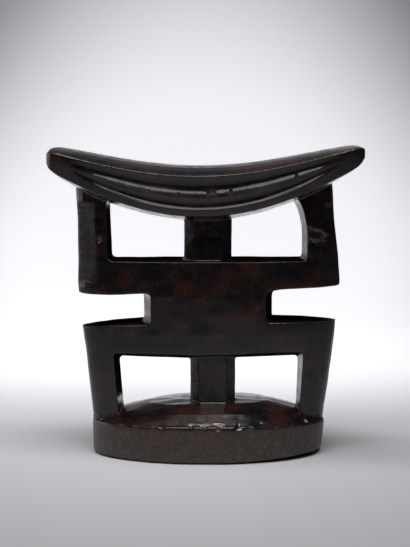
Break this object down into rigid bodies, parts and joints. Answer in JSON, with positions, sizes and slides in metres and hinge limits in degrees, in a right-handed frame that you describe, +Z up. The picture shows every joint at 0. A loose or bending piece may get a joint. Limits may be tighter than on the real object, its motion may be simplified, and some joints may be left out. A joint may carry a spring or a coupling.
{
  "type": "carved headrest",
  "caption": "Wooden headrest carved from one block: curved neck saddle with fluted edge, openwork posts and bands, oval domed foot.",
  "frame": {"origin": "on the ground, in the middle of the headrest's length and depth", "axes": "+X along the saddle, to the right seen from the carved front; the front faces -Y; +Z up"},
  "size_m": [0.1736, 0.0806, 0.1732],
  "materials": {
    "dark_wood": "old carved hardwood, handled to a dark satin patina, with adze facets, small chips and rubbed edges"
  },
  "bodies": {
    "root": {"headrest": "dark_wood"}
  },
  "joints": []
}
